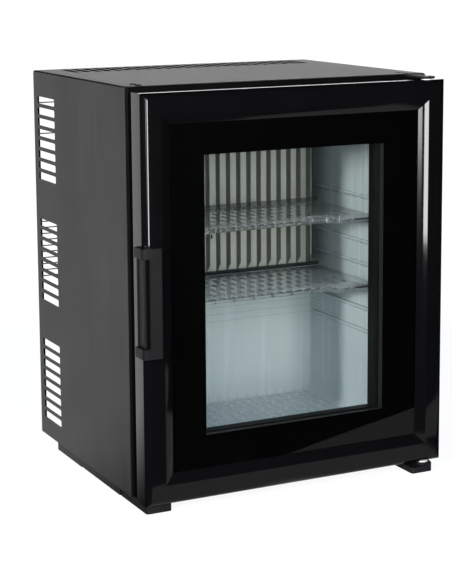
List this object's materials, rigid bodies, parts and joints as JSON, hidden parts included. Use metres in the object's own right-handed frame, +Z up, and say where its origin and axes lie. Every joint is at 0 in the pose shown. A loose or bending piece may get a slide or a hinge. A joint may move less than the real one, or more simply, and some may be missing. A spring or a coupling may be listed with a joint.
{
  "type": "glass door minibar fridge",
  "caption": "Free-standing minibar fridge with a framed glass door hung on the right, a bow handle, vented steel cabinet, clear shelves and a thermoelectric cooler.",
  "frame": {"origin": "on the floor, in the middle of the whole depth and of the cabinet's width", "axes": "+X to the right seen from the front, +Y to the back, +Z up"},
  "size_m": [0.455, 0.403, 0.5509],
  "materials": {
    "shell_paint": "satin",
    "zinc_steel": "satin",
    "hinge_paint": "satin",
    "screw_steel": "satin",
    "pin_steel": "polished",
    "sink_aluminium": "satin",
    "copper": "satin",
    "module_ceramic": "matte",
    "liner_plastic": "satin",
    "gutter_plastic": "satin",
    "black_plastic": "satin",
    "foot_plastic": "satin",
    "door_gloss": "gloss",
    "door_rear_plastic": "satin",
    "handle_plastic": "satin",
    "bush_plastic": "satin",
    "pane_glass": "gloss",
    "print_enamel": "gloss",
    "spacer_black": "matte",
    "rubber_seal": "matte",
    "magnet_strip": "matte",
    "foam": "matte",
    "shelf_acrylic": "gloss",
    "board_green": "satin"
  },
  "bodies": {
    "cabinet": {"outer_shell": "shell_paint", "base_pan": "zinc_steel", "rear_panel": "zinc_steel", "inner_liner": "liner_plastic", "insulation": "foam", "front_frame": "black_plastic", "cold_sink": "sink_aluminium", "drip_gutter": "gutter_plastic", "temperature_sensor": "black_plastic", "cold_block": "sink_aluminium", "peltier_module": "module_ceramic", "hot_sink": "sink_aluminium", "heat_pipes": "copper", "hot_sink_screws": "pin_steel", "rear_guard": "zinc_steel", "control_box": "black_plastic", "control_box_lid": "black_plastic", "control_box_screws": "screw_steel", "circuit_board": "board_green", "mains_inlet": "black_plastic", "mains_inlet_pins": "pin_steel", "skid_left": "foot_plastic", "skid_right": "foot_plastic", "foot_front_left": "foot_plastic", "foot_front_right": "foot_plastic", "foot_screws": "screw_steel", "top_hinge_plate": "hinge_paint", "top_hinge_pin": "pin_steel", "top_hinge_screws": "screw_steel", "top_hinge_plugs": "black_plastic", "lower_hinge_plate": "hinge_paint", "lower_hinge_pin": "pin_steel", "lower_hinge_screws": "screw_steel"},
    "door": {"door_frame": "door_gloss", "door_inner_frame": "door_rear_plastic", "door_foam": "foam", "outer_glass": "pane_glass", "window_print": "print_enamel", "glass_spacer": "spacer_black", "inner_glass": "pane_glass", "door_gasket": "rubber_seal", "gasket_magnets": "magnet_strip", "door_handle": "handle_plastic", "handle_base": "handle_plastic", "handle_screws": "pin_steel", "door_top_bush": "bush_plastic", "door_bottom_bush": "bush_plastic"},
    "upper_shelf": {"upper_shelf": "shelf_acrylic"},
    "lower_shelf": {"lower_shelf": "shelf_acrylic"}
  },
  "joints": [
    {"name": "door_hinge", "type": "hinge", "parent": "cabinet", "child": "door", "pos_m": [0.2, -0.1785, 0.28], "axis": [0, 0, 1], "range_deg": [0, 120]},
    {"name": "upper_shelf_slide", "type": "slide", "parent": "cabinet", "child": "upper_shelf", "axis": [0, -1, 0], "range_m": [0, 0.036]},
    {"name": "lower_shelf_slide", "type": "slide", "parent": "cabinet", "child": "lower_shelf", "axis": [0, -1, 0], "range_m": [0, 0.036]}
  ]
}
